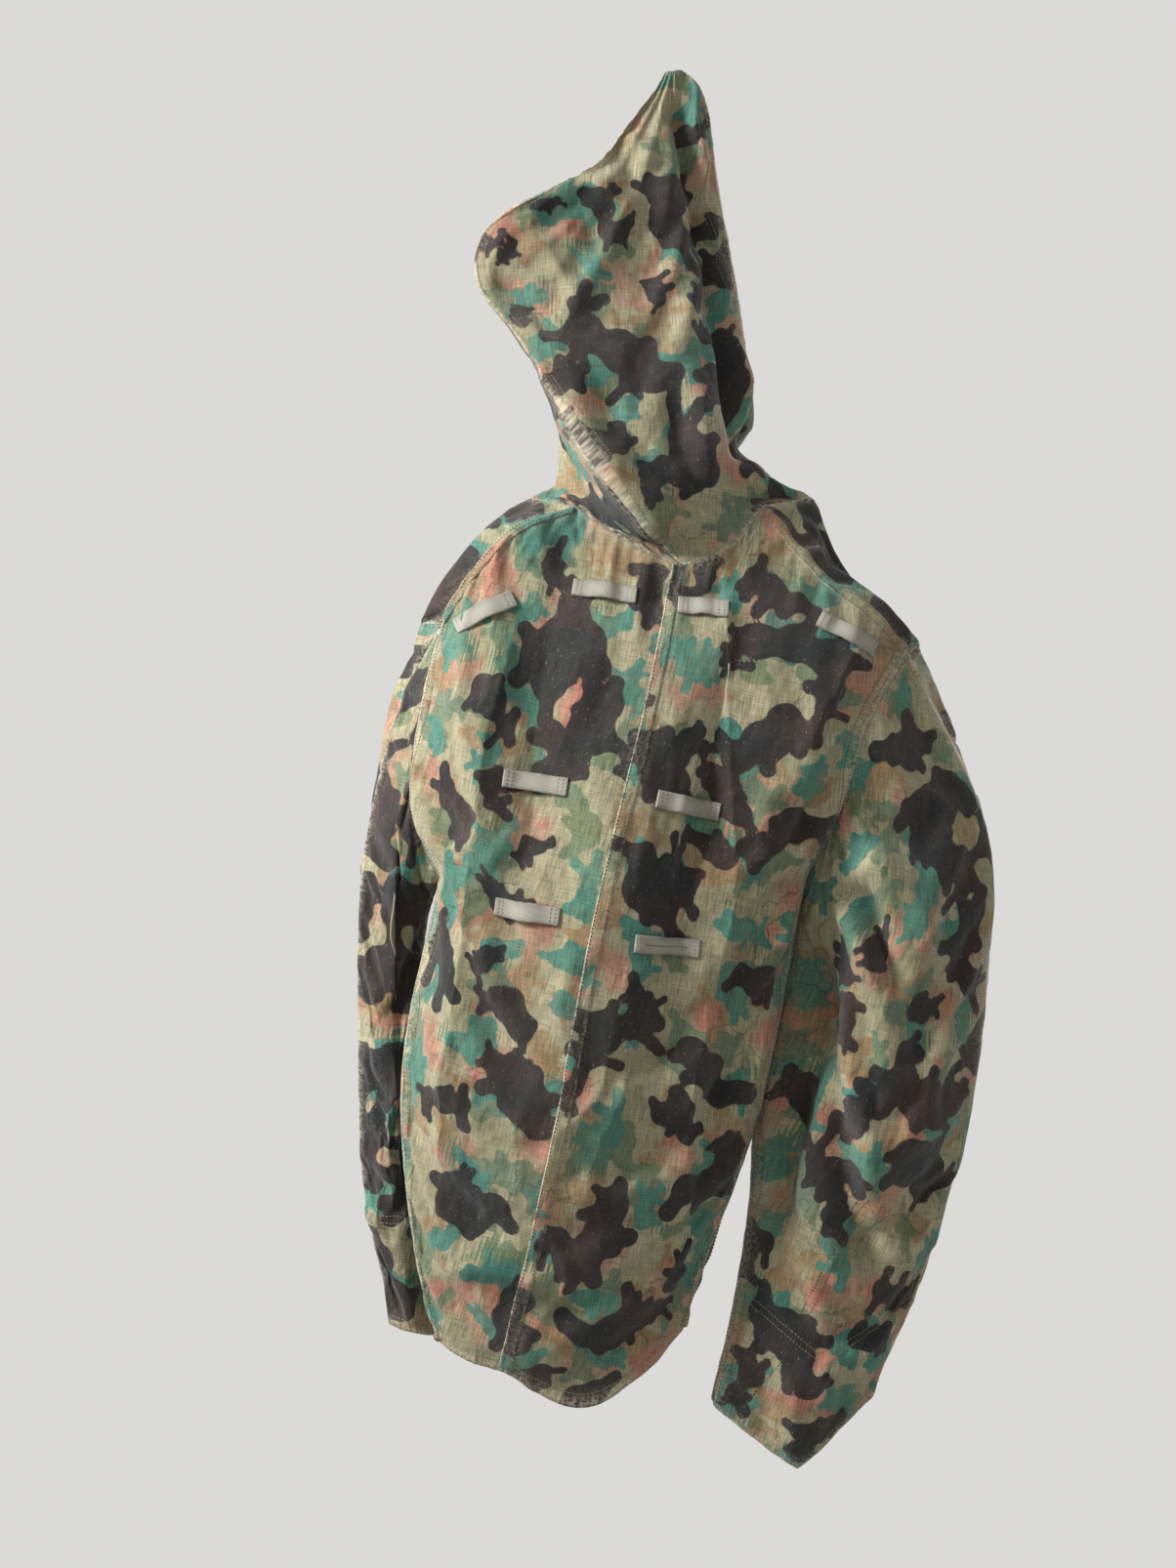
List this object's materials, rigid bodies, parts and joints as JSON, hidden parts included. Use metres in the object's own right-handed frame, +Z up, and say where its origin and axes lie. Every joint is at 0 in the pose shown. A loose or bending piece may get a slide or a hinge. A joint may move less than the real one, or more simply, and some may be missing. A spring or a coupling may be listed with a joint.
{
  "type": "hooded camouflage smock",
  "caption": "Hooded camouflage cotton smock hung by its hood, with sewn tape loops on its back for foliage, a buttoned front and sleeves that swing.",
  "frame": {"origin": "the point at the hood's peak that the smock hangs from", "axes": "+Z up; -Y out of the smock's back; +X to the right as its back is looked at"},
  "size_m": [0.5471, 0.166, 1.2132],
  "materials": {
    "printed_cotton": "matte",
    "cotton_tape": "matte",
    "horn_button": "satin"
  },
  "bodies": {
    "hood": {"hood_right": "printed_cotton", "hood_left": "printed_cotton", "hood_casing_right": "printed_cotton", "hood_casing_left": "printed_cotton"},
    "body": {"back_right": "printed_cotton", "front_right": "printed_cotton", "back_left": "printed_cotton", "front_left": "printed_cotton", "centre_back_seam": "printed_cotton", "shoulder_seam_right": "printed_cotton", "shoulder_seam_left": "printed_cotton", "hem_facing_back": "printed_cotton", "hem_facing_front": "printed_cotton", "button_placket": "printed_cotton", "button_1": "horn_button", "button_2": "horn_button", "button_3": "horn_button", "button_4": "horn_button", "button_5": "horn_button", "button_6": "horn_button", "loop_shoulder_left": "cotton_tape", "loop_neck_left": "cotton_tape", "loop_neck_right": "cotton_tape", "loop_shoulder_right": "cotton_tape", "loop_middle_left": "cotton_tape", "loop_middle_right": "cotton_tape", "loop_lower_left": "cotton_tape", "loop_lower_right": "cotton_tape"},
    "right_sleeve": {"sleeve_right_back": "printed_cotton", "sleeve_right_front": "printed_cotton", "cuff_facing_right_back": "printed_cotton", "cuff_facing_right_front": "printed_cotton"},
    "left_sleeve": {"sleeve_left_back": "printed_cotton", "sleeve_left_front": "printed_cotton", "cuff_facing_left_back": "printed_cotton", "cuff_facing_left_front": "printed_cotton"}
  },
  "joints": [
    {"name": "neck_fold", "type": "hinge", "parent": "hood", "child": "body", "pos_m": [0, -0.088, -0.456], "axis": [-1, 0, 0], "range_deg": [0, 50]},
    {"name": "sleeve_swing_right", "type": "hinge", "parent": "body", "child": "right_sleeve", "pos_m": [0.204, -0.06, -0.526], "axis": [0, -1, 0], "range_deg": [0, 45]},
    {"name": "sleeve_swing_left", "type": "hinge", "parent": "body", "child": "left_sleeve", "pos_m": [-0.208, -0.06, -0.504], "axis": [0, 1, 0], "range_deg": [0, 45]}
  ]
}
